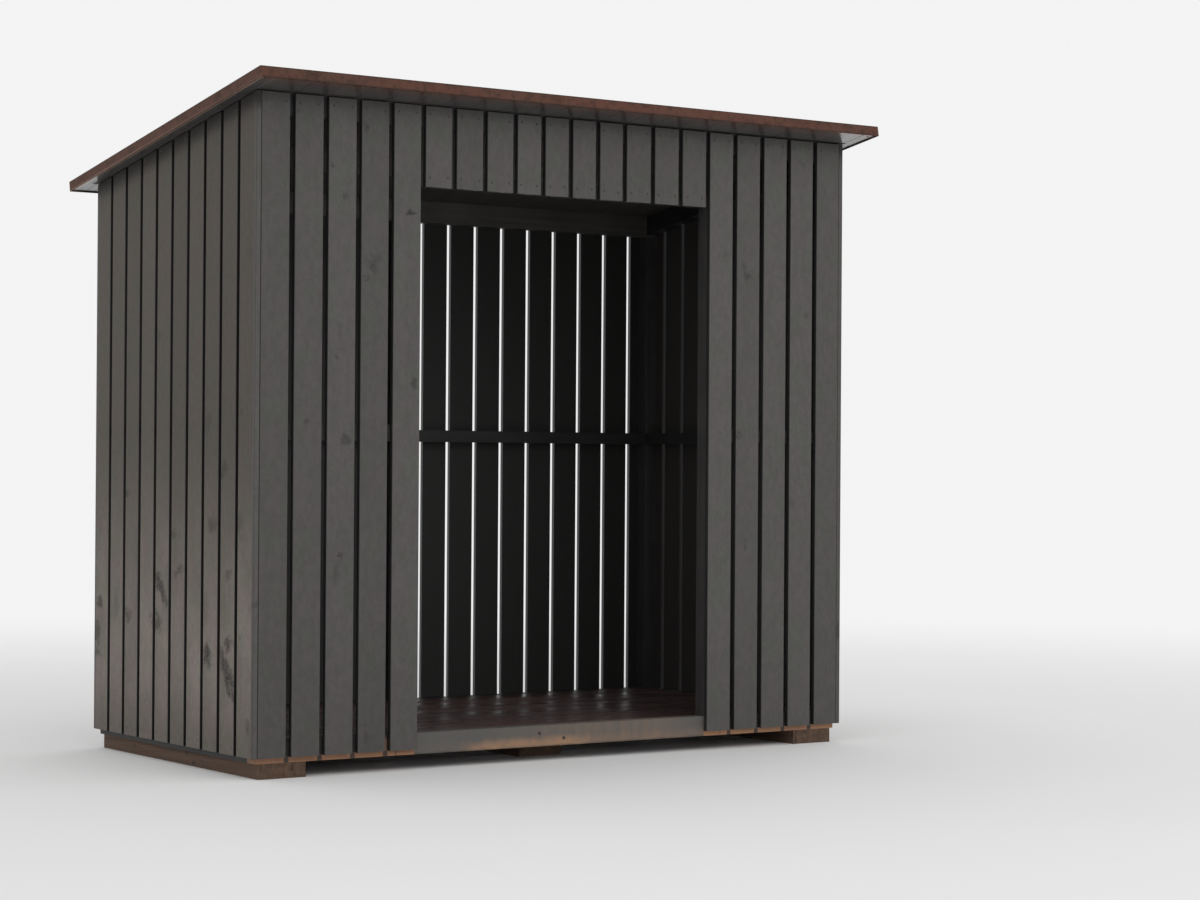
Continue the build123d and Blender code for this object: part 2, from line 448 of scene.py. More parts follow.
def side_wall_edges(finish):
    """1 behind the outer skin of the side walls, on both of a corner board's outer faces."""
    return depth_in_side_wall(finish).ramp(skin_start, skin_end) * long_wall_edges(finish)


def past_the_corner(finish):
    """0 on a corner board's front edge and on its first centimetre of side, then 1."""
    return depth_in_long_wall(finish).ramp(corner_coat_start, corner_coat_end)


def corner_joint(finish):
    """How dirty the joint is between a side wall's corner board and the wall that it laps:
    clearly at the left corners, hardly at the right ones."""
    line = abs(abs(finish.x) - joint_place).ramp(joint_rim, joint_core)
    return line * left_to_right(finish, 0.85, 0.2)


print("joint between the walls:", round(joint_place, 4), "m from the middle")

# %% [markdown]
# ## Close under the roof
#
# The boards' heads tight under the overhang carry painted shade: they are darker there, most
# of all on the side walls. A band cut at one height would be wrong under a sloping roof. So a
# height square to the slope is worked out first: it is 0 on the deck's underside, grows
# upwards through the roof and is negative below it.

# %% Heights square to the roof
roof_fall = math.radians(9.6)
soffit_at_front = 2.188
side_head_shade, side_shade_start, side_shade_end = 0.74, 0.025, 0.080
long_head_shade, long_shade_start, long_shade_end = 0.3, 0.005, 0.045


def height_in_roof(finish):
    """Distance above the deck's underside: height times the cosine of the fall, plus the
    distance behind the front times its sine."""
    drop = (finish.y - front_face) * math.sin(roof_fall)
    return (finish.z - soffit_at_front) * math.cos(roof_fall) + drop


def head_shade(finish, across):
    """How much painted shade a wall gets close under the roof: 80 mm deep on the side walls,
    less on others.
    """
    below = 0.0 - height_in_roof(finish)
    if across == "y":
        return below.ramp(side_shade_start, side_shade_end, side_head_shade, 0.0)
    return below.ramp(long_shade_start, long_shade_end, long_head_shade, 0.0)


heads = board_tops("left_wall_boards", 1, side_edges)
slope = (heads[1] - heads[-2]) / (side_edges[-2][0] - side_edges[1][0])
print("fall read off the boards' heads:", round(math.degrees(math.atan(slope)), 2), "degrees")

# %% [markdown]
# ## Smudges on the boards
#
# On the front the smudges are small and few. On the side wall the larger ones sit in the
# lower half, where rain splashes. They could be left to chance, but their places are part
# of how this store looks, so each is listed where it is seen.

# %% Smudges, in metres
front_smudges = [
    (-0.796, 2.090, 0.015, 0.019, 0.0, 0.35), (-0.921, 1.974, 0.009, 0.008, 0.0, 0.35),
    (-0.883, 1.870, 0.011, 0.010, 0.0, 0.25), (-0.632, 1.830, 0.017, 0.010, 0.5, 0.65),
    (-0.767, 1.660, 0.024, 0.023, 0.0, 0.22), (-0.774, 1.647, 0.013, 0.011, 0.0, 0.38),
    (-0.800, 1.616, 0.011, 0.008, 0.0, 0.35), (-0.902, 1.418, 0.011, 0.026, 0.0, 0.14),
    (-0.901, 1.354, 0.011, 0.010, 0.0, 0.28), (-0.616, 1.273, 0.011, 0.020, 0.0, 0.35),
    (-1.012, 1.136, 0.009, 0.008, 0.0, 0.25), (-0.870, 1.087, 0.015, 0.011, 0.0, 0.35),
    (-0.892, 0.700, 0.012, 0.010, 0.0, 0.35), (-0.903, 0.649, 0.011, 0.032, 0.0, 0.20),
    (-0.788, 0.115, 0.011, 0.039, 0.0, 0.20), (0.765, 1.673, 0.018, 0.016, 0.0, 0.32),
    (0.751, 1.704, 0.011, 0.029, 0.4, 0.20), (0.657, 1.750, 0.020, 0.018, 0.0, 0.15),
    (0.729, 1.105, 0.013, 0.014, 0.0, 0.30), (1.009, 2.104, 0.014, 0.011, 0.0, 0.20),
    (1.032, 1.543, 0.016, 0.013, 0.0, 0.20), (0.963, 0.873, 0.016, 0.011, 0.0, 0.18),
    (0.759, 0.720, 0.011, 0.012, 0.0, 0.22),
]
side_smudges = [
    (0.349, 0.895, 0.024, 0.012, 0.0, 0.40), (-0.375, 0.981, 0.032, 0.029, 0.3, 0.35),
    (-0.265, 1.143, 0.022, 0.036, 0.0, 0.25), (-0.300, 0.805, 0.029, 0.019, 0.0, 0.40),
    (-0.496, 0.822, 0.021, 0.029, 0.0, 0.30), (-0.013, 0.773, 0.023, 0.013, 0.0, 0.30),
    (0.083, 0.589, 0.033, 0.050, -1.0, 0.70), (-0.053, 0.641, 0.037, 0.013, 0.0, 0.35),
    (0.112, 0.467, 0.042, 0.040, 0.0, 0.42), (0.572, 0.513, 0.022, 0.021, 0.0, 0.65),
    (0.587, 0.404, 0.029, 0.039, 0.0, 0.45), (0.577, 0.338, 0.025, 0.014, 0.0, 0.35),
    (0.341, 0.486, 0.032, 0.017, 0.0, 0.35), (-0.416, 0.647, 0.028, 0.016, 0.0, 0.30),
    (-0.261, 0.525, 0.022, 0.072, 0.0, 0.18), (-0.271, 0.379, 0.032, 0.042, 0.0, 0.60),
    (-0.419, 0.420, 0.031, 0.022, 0.0, 0.50), (-0.414, 0.323, 0.040, 0.071, -1.0, 0.65),
    (-0.603, 0.550, 0.040, 0.016, 0.0, 0.22), (-0.555, 0.168, 0.018, 0.019, 0.0, 0.30),
    (-0.552, 1.673, 0.027, 0.016, 0.0, 0.18), (0.105, 1.423, 0.019, 0.017, 0.0, 0.22),
    (0.431, 0.506, 0.024, 0.042, 0.0, 0.18),
]
print("smudges:", len(front_smudges), "on the front,", len(side_smudges), "on a side")

# %% [markdown]
# ## How the grey coat has weathered
#
# The boards wear a dark, warm grey paint that dulls outdoors, in soft patches that lean to
# green or to red. Splashing water has left the lower part of the side walls paler. One flat
# colour would look like plastic. So the coat starts from its colour, turns towards a worn
# one near the foot, and is then multiplied by three faint tints: board by board, patch by
# patch and speck by speck.

# %% Weathered coat
worn_grey = paint(123, 116, 110)
# Near-black tone of the boards' edges in the gaps: painted shade. The front's foot is also
# darkened towards it.
edge_painted_shade = paint(38, 37, 37)
green_lean = (0.96, 1.01, 0.94, 1.0)
red_lean = (1.05, 0.98, 1.01, 1.0)
splash_top, splash_full = 1.15, 0.35
damp_foot, damp_top = 0.08, 0.32
foot_shade = 0.08
patch_scale, hue_scale, speck_scale = 7.0, 14.0, 60.0


def weathered(finish, grey, splash, luck, shift, fibres, bands):
    """The coat's colour, its patches, and how worn it is, at each point of a wall."""
    stretched = finish.join(finish.x + shift, finish.y, finish.z * 0.5)
    patches = finish.noise(stretched, patch_scale, 4.0, 0.6)
    low = finish.z.ramp(splash_top, splash_full) * finish.z.ramp(damp_foot, damp_top, 0.5, 1.0)
    worn = low * splash * patches.ramp(0.2, 0.7, 0.5, 1.0)
    colour = finish.mix(worn, grey, worn_grey)
    tone = luck * 0.3 + bands * 0.2 + patches * 0.3 + fibres * 0.2
    colour = finish.tinted(colour, tone.ramp(0.25, 0.75), plain(0.88), plain(1.10))
    leaning = finish.join(finish.x, finish.y + shift, finish.z * 0.7)
    hue = finish.noise(leaning, hue_scale, 3.0)
    colour = finish.tinted(colour, hue.ramp(0.35, 0.65), green_lean, red_lean)
    upright = finish.join(finish.x, finish.y, finish.z * 0.6)
    specks = finish.noise(upright, speck_scale, 5.0, 0.75)
    colour = finish.tinted(colour, specks.ramp(0.36, 0.64), plain(0.91), plain(1.08))
    foot = finish.z.ramp(0.6, 0.1) * foot_shade * (1 - splash)
    return finish.mix(foot, colour, edge_painted_shade), patches, worn


print("splash reaches", splash_top, "m up and is full at", splash_full, "m")

# %% [markdown]
# ## Paint of one wall
#
# Over the coat lie knots, smudges and the shade under the roof, and the fibres stand out as
# fine relief. The edges in the gaps are sheltered and have kept their gloss: from inside,
# those of the back wall mirror the daylight as pale lines beside the slits. The four walls
# could have four graphs, but they differ only in a few values, so one function makes them.

# %% Wall board paint
front_grey = paint(81, 79, 78)
# Inner faces: a darker coat, partly painted shade of the store's inside.
inner_front, inner_side = paint(43, 42, 41), paint(66, 63, 61)
# Side walls' board edges in the gaps: painted shade.
side_edge_painted_shade = paint(27, 26, 26)
smudge_brown = paint(34, 31, 29)
# Dark tone for dirt in the corner joints, and for the painted shade under the roof.
joint_dirt_and_head_shade = paint(22, 20, 19)
edge_gloss, side_edge_gloss = 0.8, 0.05
knot_tone = 0.35
trunk_shift = 7.0
inner_skin = 0.002
board_relief = 0.0005


def board_paint(name, grey, across, first, pitch, splash, smudges):
    """Paint for one wall.

    grey is its colour. across names the axis along the wall, and first and pitch tell where
    its board numbers start and how far apart they are, mirrored about the middle on the
    front. splash is how pale its foot has turned. The length of the name makes the boards'
    luck differ between walls. The right wall repeats the left one's smudges in turned order.
    """
    finish = Finish(name)
    if across == "x":
        run, middle, depth = finish.x, 0.0, depth_in_long_wall(finish)
        hidden, inner = long_wall_edges(finish), inner_front
        edge_shade, shine = edge_painted_shade, edge_gloss
    else:
        run, middle = (middle_depth - finish.y) * (finish.x.above(0.0) * 2 - 1), middle_depth
        depth, hidden, inner = depth_in_side_wall(finish), side_wall_edges(finish), inner_side
        edge_shade, shine = side_edge_painted_shade, side_edge_gloss
        splash = past_the_corner(finish) * splash
        grey = finish.mix(past_the_corner(finish), front_grey, grey)
    side = run.above(0.0) * 2 - 1
    number = finish.math("FLOOR", (abs(run) - first) / pitch) * side + side * 0.25
    luck = finish.chance(number + len(name))
    shift = luck * trunk_shift
    fibres, bands = grain_of(finish, "z", shift)
    colour, patches, worn = weathered(finish, grey, splash, luck, shift, fibres, bands)
    knots = knots_of(finish, run, shift) * knot_tone
    marks = finish.most(knots, smudges_of(finish, run + middle, finish.z, smudges))
    colour = finish.mix(marks, colour, smudge_brown)
    # Painted shade close under the roof.
    colour = finish.mix(head_shade(finish, across), colour, joint_dirt_and_head_shade)
    # Edges get painted shade of the gaps, and inner faces a darker coat that is partly painted
    # shade.
    inside = depth.ramp(board_thickness - inner_skin, board_thickness)
    colour = finish.mix(hidden, colour, finish.mix(inside, edge_shade, inner))
    colour = finish.mix(corner_joint(finish), colour, joint_dirt_and_head_shade)
    roughness = 0.5 + fibres * 0.12 + patches * 0.12 + worn * 0.12
    height = fibres * 0.35 + bands * 0.4 - marks * 0.3
    gloss = hidden * (1 - inside) * shine
    return finish.close(
        colour, roughness, height, board_relief,
        Coat_Weight=gloss, Coat_Roughness=0.25, Specular_IOR_Level=0.3,
    )


print("the front's grey in linear light:", [round(part, 3) for part in front_grey[:3]])

# %% [markdown]
# ## Paint on the four walls
#
# The front and the boards over the doorway share a grey. The side walls are warmer and worn
# by splashes, and the back is taken to be half as worn. A table of walls keeps these few
# differences in sight, and one loop paints them all.

# %% Painting the walls
side_grey = paint(76, 71, 65)
side_splash, back_splash = 0.95, 0.5


def dress(names, material):
    """Gives solids a material."""
    for name in names:
        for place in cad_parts[name].material_slots:
            place.material = material
    print(material.name, "on", ", ".join(names))


coats = (
    ("front_board_paint", ["front_left_boards", "front_right_boards"],
     front_grey, "x", door_edge - front_gap / 2, front_pitch, 0.0, front_smudges),
    ("over_door_board_paint", ["over_door_boards"],
     front_grey, "x", 0.0, over_pitch, 0.0, []),
    ("side_board_paint", ["left_wall_boards", "right_wall_boards"],
     side_grey, "y", 0.0, side_pitch, side_splash, side_smudges),
    ("back_board_paint", ["back_wall_boards"],
     side_grey, "x", 0.0, side_pitch, back_splash, []),
)
for name, boards, *look in coats:
    dress(boards, board_paint(name, *look))

# %% [markdown]
# ## The frame behind the boards
#
# Posts and rails got the same grey as the boards. Their tones carry painted shade: darkest
# on the rails, less on the posts and least on the two high rails. The walls' paint could
# serve again, but its masks belong to outer faces. So the frame has a plain paint of its own,
# with the grain along each timber: up the posts, along the rails.

# %% Frame paint
# Darker copies of the boards' grey: painted shade, least on the high rails.
post_dark, post_pale = paint(46, 44, 44), paint(64, 62, 61)
rail_dark, rail_pale = paint(27, 26, 26), paint(41, 40, 39)
high_dark, high_pale = paint(57, 55, 53), paint(82, 79, 76)
frame_relief = 0.0007


def timber_paint(name, along, dark, pale):
    """Grey paint between a dark and a pale tone, over grain that runs along one axis."""
    finish = Finish(name)
    fibres, bands = grain_of(finish, along)
    blotches = finish.noise(finish.place, 6.0, 3.0)
    colour = finish.mix((bands * 0.6 + blotches * 0.5).ramp(0.3, 0.8), dark, pale)
    roughness = 0.5 + fibres * 0.2
    return finish.close(colour, roughness, fibres * 0.5 + bands * 0.5, frame_relief)


posts = [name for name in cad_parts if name.endswith("_post")]
long_rails = [
    "front_top_rail", "door_lintel", "front_left_mid_rail", "front_right_mid_rail",
    "back_left_mid_rail", "back_right_mid_rail", "back_rim",
]
high_rails = ["back_top_rail", "roof_purlin"]
cross_rails = [
    "left_top_rail", "right_top_rail", "left_mid_rail", "right_mid_rail", "left_rim", "right_rim"
]
dress(posts, timber_paint("post_paint", "z", post_dark, post_pale))
dress(long_rails, timber_paint("rail_paint", "x", rail_dark, rail_pale))
dress(high_rails, timber_paint("high_rail_paint", "x", high_dark, high_pale))
dress(cross_rails, timber_paint("side_rail_paint", "y", rail_dark, rail_pale))

# %% [markdown]
# ## The sill
#
# The front floor timber is also the doorway's sill. The brush reached it in the doorway and
# in the gaps, where it is nearly black. Below the boards' feet a bare orange-brown strip
# shows. In the doorway boots and rain have worn the grey towards brown, least at the left.
# Cutting the timber into painted and bare pieces would give hard borders, so masks by place
# and height mix the colours, and noise frays their borders.

# %% Sill paint
sill_grey, sill_brown = paint(86, 83, 80), paint(128, 105, 86)
sill_bright = paint(158, 122, 92)
strip_bright, strip_dull = paint(166, 122, 88), paint(124, 88, 66)
gap_paint = paint(30, 27, 25)
walked_from, walked_to = (-0.35, 0.1), (0.55, 0.4)
bright_from, bright_to = (-0.45, -0.3), (-0.02, 0.18)
bright_top, bright_full = 0.092, 0.062
rim_top, rim_full = 0.056, 0.051
bare_run = -0.7045
drip_scale, wobble_scale, blotch_scale = 34.0, 26.0, 16.0
sill_relief = 0.0008


def sill_in_doorway(finish, wobble, blotches):
    """Grey, brown in drips where it is walked on, bright along the bottom, dark at the rim."""
    drips = finish.noise(finish.join(finish.x, 0.0, finish.z * 0.25), drip_scale, 4.0, 0.65)
    walked = drips.ramp(0.2, 0.8) * finish.x.ramp(*walked_from) * finish.x.ramp(*walked_to)
    colour = finish.mix(walked * 0.6, sill_grey, sill_brown)
    bright = (finish.z + wobble * 0.03).ramp(bright_top, bright_full)
    bright = bright * blotches.ramp(0.25, 0.6, 0.5, 1.0)
    ends = finish.x.ramp(*bright_from, 0.05, 0.85) * finish.x.ramp(*bright_to, 1.0, 0.25)
    colour = finish.mix(bright * ends, colour, sill_bright)
    rim = (finish.z + wobble * 0.01).ramp(rim_top, rim_full)
    return finish.mix(rim * 0.4, colour, gap_paint)


def sill_under_boards(finish, wobble, blotches, bands):
    """Near black in the gaps, with one bare run, and bare timber below the boards' feet."""
    distance = abs(finish.x) - door_edge + wobble * 0.004
    phase = finish.math("FRACT", distance / front_pitch)
    wood_part = 1 - front_gap / front_pitch
    in_gap = phase.ramp(wood_part - 0.01, wood_part + 0.02) * phase.ramp(1.0, 0.98)
    timber = finish.mix((bands * 0.7 + blotches * 0.4).ramp(0.3, 0.8), strip_bright, strip_dull)
    under = finish.mix(in_gap * 0.9, timber, gap_paint)
    dripped = finish.noise(finish.join(finish.x, 0.0, 0.0), drip_scale, 2.0).ramp(0.6, 0.7)
    under = finish.mix(dripped * 0.7, under, gap_paint)
    run_down = abs(finish.x - bare_run).ramp(0.006, 0.003) * finish.z.ramp(0.118, 0.1)
    gaps = finish.mix(run_down, gap_paint, strip_dull)
    bare = (finish.z + wobble * 0.007).ramp(board_foot + 0.002, board_foot - 0.001)
    return finish.mix(bare, gaps, under)


def sill_paint():
    """The doorway's part and the parts under the boards, parted at the doorway's edges."""
    finish = Finish("sill_paint")
    fibres, bands = grain_of(finish, "x")
    wobble = finish.noise(finish.join(finish.x, 0.0, finish.z * 0.2), wobble_scale, 3.0) - 0.5
    blotched = finish.join(finish.x * 0.6, finish.y, finish.z)
    blotches = finish.noise(blotched, blotch_scale, 4.0, 0.65)
    in_doorway = sill_in_doorway(finish, wobble, blotches)
    under_boards = sill_under_boards(finish, wobble, blotches, bands)
    beside_door = abs(finish.x).ramp(door_edge - 0.002, door_edge + 0.002)
    colour = finish.mix(beside_door, in_doorway, under_boards)
    roughness = 0.5 + fibres * 0.25
    return finish.close(colour, roughness, fibres * 0.6 + bands * 0.5, sill_relief)


dress(["front_sill"], sill_paint())

# %% [markdown]
# ## Wet floor boards
#
# The floor is bare timber that years of bark and rain have turned dark brown. It is damp
# all over, so it has a soft sheen and mirrors the light between the slats as blurred
# streaks. Damp could be a glossy sheet of its own, but on timber it is only a darker tone
# and a smoother surface, so one noise drives both.

# %% Floor timber
floor_dark, floor_pale = paint(58, 38, 37), paint(84, 59, 54)
floor_wet = paint(42, 28, 28)
floor_board_pitch = 0.125
floor_relief = 0.00025


def floor_timber(name, along, damp):
    """Dark bare boards, each in its own tone, with a damp sheen."""
    finish = Finish(name)
    luck = finish.chance(finish.math("FLOOR", finish.y / floor_board_pitch))
    fibres, bands = grain_of(finish, along, luck * 3.0)
    patches = finish.noise(finish.join(finish.x * 0.5, finish.y, 0.0), 5.0, 3.0, 0.55)
    wet = patches.ramp(0.3, 0.65) * damp
    tone = (bands * 0.6 + luck * 0.4 + fibres * 0.25).ramp(0.3, 1.0)
    colour = finish.mix(tone, floor_dark, floor_pale)
    colour = finish.mix(wet * 0.5, colour, floor_wet)
    roughness = 0.55 - wet * 0.28 + fibres * 0.06
    height = fibres * (1 - wet * 0.7) + bands * 0.4
    return finish.close(colour, roughness, height, floor_relief, Specular_IOR_Level=0.5)


dress(["floor_boards"], floor_timber("floor_board_timber", "x", 1.0))
dress(["floor_joists"], floor_timber("joist_timber", "y", 0.0))

# %% [markdown]
# ## Bearers
#
# Three flat timbers lie on the ground from front to back. They were never painted. The end
# that shows at the near corner is brown and cracked, with its growth rings open. Rings and
# grain could be two materials, one for the ends and one for the sides. But a sine of the
# distance from the trunk's core gives both at once, as in real timber.

# %% Bearer timber
bearer_brown, bearer_dark = paint(104, 80, 62), paint(60, 44, 34)
bearer_crack = paint(28, 20, 16)
ring_rate = 1500.0
core_below = 0.03
bearer_relief = 0.001


def bearer_timber():
    """Bare timber: fibres along Y, rings round a core below it, and upright cracks."""
    finish = Finish("bearer_timber")
    fibres, bands = grain_of(finish, "y")
    bend = finish.noise(finish.join(finish.x, finish.y * 0.1, finish.z), 9.0, 2.0) * 0.02
    radius = finish.length(finish.join(0.0, bend, finish.z * 1.4 + core_below))
    rings = finish.math("SINE", radius * ring_rate) * 0.5 + 0.5
    tone = (bands * 0.6 + rings * 0.18 + fibres * 0.3).ramp(0.25, 0.85)
    colour = finish.mix(tone, bearer_dark, bearer_brown)
    split = finish.noise(finish.join(finish.x * 6.0, finish.y, finish.z), 22.0, 3.0)
    cracks = split.ramp(0.62, 0.7)
    colour = finish.mix(cracks * 0.7, colour, bearer_crack)
    return finish.close(colour, 0.75 + fibres * 0.15, fibres - cracks * 2.0, bearer_relief)


dress(["bearer_left", "bearer_middle", "bearer_right"], bearer_timber())

# %% [markdown]
# ## Roof edging
#
# Folded plate with a red-brown coat runs round the roof's edge. Its coat is mottled by
# weather, with a darker line along the top fold and painted shade at the drip. On the left
# the drip has painted light from the ground instead. The lines could be thin strips of their
# own, but they are only colour, so they are masks that follow the roof's own slope.

# %% Edging coat
edging_brown, edging_red = paint(85, 57, 46), paint(92, 56, 43)
edging_side, edging_dark = paint(84, 55, 43), paint(50, 35, 29)
edging_lit = paint(128, 104, 92)
roof_half = -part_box("left_edge_trim")[0][0]
top_line_start, top_line_full = 0.025, 0.029
drip_start, drip_full = 0.003, -0.003
edging_relief = 0.0003


def edging_coat():
    """Red-brown coat: broad and fine mottle, darker at the top fold, and painted shade at the
    drip. On the left the drip has painted light from the ground instead, most of all towards the
    back."""
    finish = Finish("edging_coat")
    level = height_in_roof(finish)
    along = finish.join(finish.x * 0.5, finish.y * 0.5, finish.z)
    broad = finish.noise(along, 5.0, 3.0)
    mottle = finish.noise(finish.place, 38.0, 5.0, 0.7)
    specks = finish.noise(finish.place, 260.0, 2.0)
    colour = finish.mix(broad.ramp(0.35, 0.65), edging_brown, edging_red)
    on_side = (abs(finish.x) - roof_half).ramp(-0.0006, -0.0001)
    colour = finish.mix(on_side * 0.8, colour, edging_side)
    colour = finish.mix(mottle.ramp(0.45, 0.68) * 0.7, colour, edging_dark)
    on_left = (finish.x + roof_half).ramp(0.002, 0.0008)
    # Painted shade along the drip, left out on the left side.
    drip = level.ramp(drip_start, drip_full)
    lines = finish.most(level.ramp(top_line_start, top_line_full), drip * (1 - on_left))
    colour = finish.mix(lines * 0.6, colour, edging_dark)
    # Painted light from the ground on the left drip.
    lit = drip * on_left * finish.y.ramp(-0.6, 0.5, 0.25, 0.75)
    colour = finish.mix(lit, colour, edging_lit)
    roughness = 0.5 + mottle * 0.25 + specks * 0.05
    height = mottle * 0.5 + specks * 0.3
    return finish.close(colour, roughness, height, edging_relief, Specular_IOR_Level=0.22)


edging = [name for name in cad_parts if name.endswith("_edge_trim")]
dress(edging, edging_coat())

# %% [markdown]
# ## The soffit
#
# The soffit is the underside of the roof. Outside the walls it is painted a glossy dark grey
# that mirrors the bright ground beyond the right corner. Inside it is dull. A second
# material on some faces would need cuts along the walls, so one material changes its gloss
# with the place instead. Dirt darkens the seams between the boards, and painted shade
# darkens the soffit where it meets a wall. The edging's brown coat laps round onto the
# soffit's rim as a dark band that fades inwards in front. On the left the rim is a paler
# brown strip: painted light from the ground.

# %% Soffit paint
soffit_dark, soffit_pale = paint(66, 62, 62), paint(79, 75, 73)
# The seam tone is dirt in the seams and painted shade along the walls.
soffit_inside, soffit_dirt_and_shade = paint(62, 59, 56), paint(24, 23, 22)
# The left rim's pale brown is painted light from the ground.
front_rim_brown, left_rim_painted_light = paint(92, 67, 57), paint(145, 121, 107)
left_shade_width, other_shade_width = 0.026, 0.014
inside_start, inside_full = 0.01, 0.02
roof_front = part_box("front_edge_trim")[0][1]
front_rim_start, front_rim_full = 0.075, 0.02
left_rim_width = 0.019
soffit_relief = 0.00012


def inside_walls(finish):
    """1 where the soffit is inside all four walls."""
    in_x = abs(finish.x).ramp(half_front - inside_start, half_front - inside_full)
    off_middle = abs(finish.y - middle_depth)
    return in_x * off_middle.ramp(half_depth - inside_start, half_depth - inside_full)


def near_walls(finish):
    """1 where the soffit meets a wall outside, fading over the width of the painted shade."""
    out_x = abs(finish.x) - half_front
    out_y = abs(finish.y - middle_depth) - half_depth
    width = left_to_right(finish, left_shade_width, other_shade_width)
    return finish.most(out_x / width, out_y / other_shade_width).ramp(1.0, 0.3)


def soffit_paint():
    """Gloss paint on the overhangs, dull inside the walls. Dirt darkens the seams, and painted
    shade darkens the soffit close to the walls, in a wider band along the left wall."""
    finish = Finish("soffit_paint")
    fibres, bands = grain_of(finish, "y")
    haze = finish.noise(finish.place, 5.0, 3.0)
    inside = inside_walls(finish)
    by_wall = near_walls(finish) * (1 - inside)
    in_seam = height_in_roof(finish).ramp(0.0002, 0.0008)
    colour = finish.mix(haze.ramp(0.3, 0.7), soffit_dark, soffit_pale)
    colour = finish.mix(inside, colour, soffit_inside)
    front_rim = (finish.y - roof_front).ramp(front_rim_start, front_rim_full)
    colour = finish.mix(front_rim, colour, front_rim_brown)
    # Painted light from the ground on the left rim's strip.
    left_rim = (finish.x + roof_half - left_rim_width).ramp(0.001, -0.001)
    colour = finish.mix(left_rim, colour, left_rim_painted_light)
    # Dirt in the seams, and painted shade where the soffit meets a wall.
    dirt_and_shade = finish.most(by_wall * left_to_right(finish, 0.45, 0.85), in_seam * 0.4)
    colour = finish.mix(dirt_and_shade, colour, soffit_dirt_and_shade)
    dull = finish.most(inside, by_wall, in_seam)
    roughness = 0.3 + haze * 0.1 + dull * 0.4
    height = fibres * 0.25 + bands * 0.4
    gloss = 0.7 - dull * 0.7
    return finish.close(
        colour, roughness, height, soffit_relief, Coat_Weight=gloss, Coat_Roughness=0.16
    )


dress(["roof_deck", "left_verge_board", "right_verge_board"], soffit_paint())

# %% [markdown]
# ## Roof sheet
#
# From the front the roof's top can't be seen, so its covering is a guess. Stores of this
# kind carry a dark bitumen sheet strewn with mineral grit, laid in widths that lap down the
# slope. Grains as meshes would be far too many, and at this size they are only a fine
# change of tone and relief, so a fine noise gives both. A fraction of the distance down the
# slope draws the laps.

# %% Roof sheet
lap_pitch = 0.92
sheet_dark, sheet_pale = paint(34, 34, 36), paint(92, 92, 94)
sheet_dust, sheet_seam = paint(74, 70, 62), paint(18, 18, 18)
sheet_relief = 0.0012


def roof_grit():
    """Dark sheet with grit, dust washed down the slope and a lap line every sheet width."""
    finish = Finish("roof_grit")
    grit = finish.noise(finish.place, 420.0, 3.0, 0.85)
    cloud = finish.noise(finish.join(finish.x, finish.y * 0.5, finish.z), 3.5, 5.0, 0.65)
    lap = finish.math("FRACT", (finish.y + 10.0 + cloud * 0.004) / lap_pitch)
    colour = finish.mix(grit.ramp(0.38, 0.66), sheet_dark, sheet_pale)
    washed = finish.y.ramp(0.1, 0.7, 0.35, 0.7) * cloud.ramp(0.42, 0.68)
    colour = finish.mix(washed, colour, sheet_dust)
    colour = finish.mix(lap.ramp(0.985, 0.995) * 0.8, colour, sheet_seam)
    height = grit * 0.4 + lap.ramp(0.9, 0.99)
    return finish.close(colour, 0.85 + grit * 0.1, height, sheet_relief)


dress(["roof_sheet"], roof_grit())

# %% [markdown]
# ## One screw head
#
# A pan head is a low button with a star-shaped recess. It could be cut with booleans, but a
# surface of two parameters is lighter: the distance from the middle and the angle round it.
# A few rings give the rim, the rounded top and the recess, and a cosine makes the star.

# %% Head surface
head_radius = 0.0042
head_rise = 0.0009
head_sink = 0.0002
recess_depth = 0.0007
ring_shares = np.array([0.0, 1.0, 0.8, 0.47, 0.0])
star_points = 6
star_depths = np.array([0.0, 0.0, 0.0, 0.2, 0.0])


def head_surface(around=12):
    """A closed head: rings of radius and height, from the middle of its foot round to the
    middle of its recess.

    The foot is sunk a little into the board. The recess is a star, so its radius is a mean
    plus a cosine of six times the angle. Returns the vertices with Z as the way out, and
    the faces.
    """
    recess_floor = head_rise - recess_depth
    rises = np.array([-head_sink, -head_sink, head_rise, head_rise, recess_floor])[:, None]
    angle = np.linspace(0.0, 2 * np.pi, around, endpoint=False)[None, :]
    star = 1 + star_depths[:, None] * np.cos(star_points * angle)
    radius = ring_shares[:, None] * head_radius * star
    height = rises + 0 * angle
    places = np.stack([radius * np.cos(angle), radius * np.sin(angle), height], axis=-1)
    ring, step = np.meshgrid(np.arange(len(rises) - 1), np.arange(around), indexing="ij")
    following = (step + 1) % around
    corners = [ring * around + step, ring * around + following]
    corners += [(ring + 1) * around + following, (ring + 1) * around + step]
    faces = np.stack(corners, axis=-1).reshape(-1, 4)
    return places.reshape(-1, 3), faces


print("faces in one head:", len(head_surface()[1]))

# %% [markdown]
# ## Many heads as one mesh
#
# The walls hold hundreds of heads. As separate objects they would be slow to handle, and
# instances are lost when the model is exported. So the places are one array and the head
# is another, and adding the two gives every vertex of every head at once. Each head is
# turned by its own spin, as real screws stop where they stop.

# %% Stamping and mesh building
weld_distance = 1e-6


def mesh_piece(name, places, faces, material):
    """Makes an object from arrays, welds its poles shut and lets it ride on the store."""
    mesh = bpy.data.meshes.new(name)
    mesh.from_pydata(places.tolist(), [], faces.tolist())
    shell = bmesh.new()
    shell.from_mesh(mesh)
    bmesh.ops.remove_doubles(shell, verts=shell.verts, dist=weld_distance)
    bmesh.ops.recalc_face_normals(shell, faces=shell.faces)
    shell.to_mesh(mesh)
    shell.free()
    mesh.materials.append(material)
    piece = bpy.data.objects.new(name, mesh)
    bpy.context.scene.collection.objects.link(piece)
    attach(piece, "root")
    print(name, "vertices:", len(mesh.vertices))


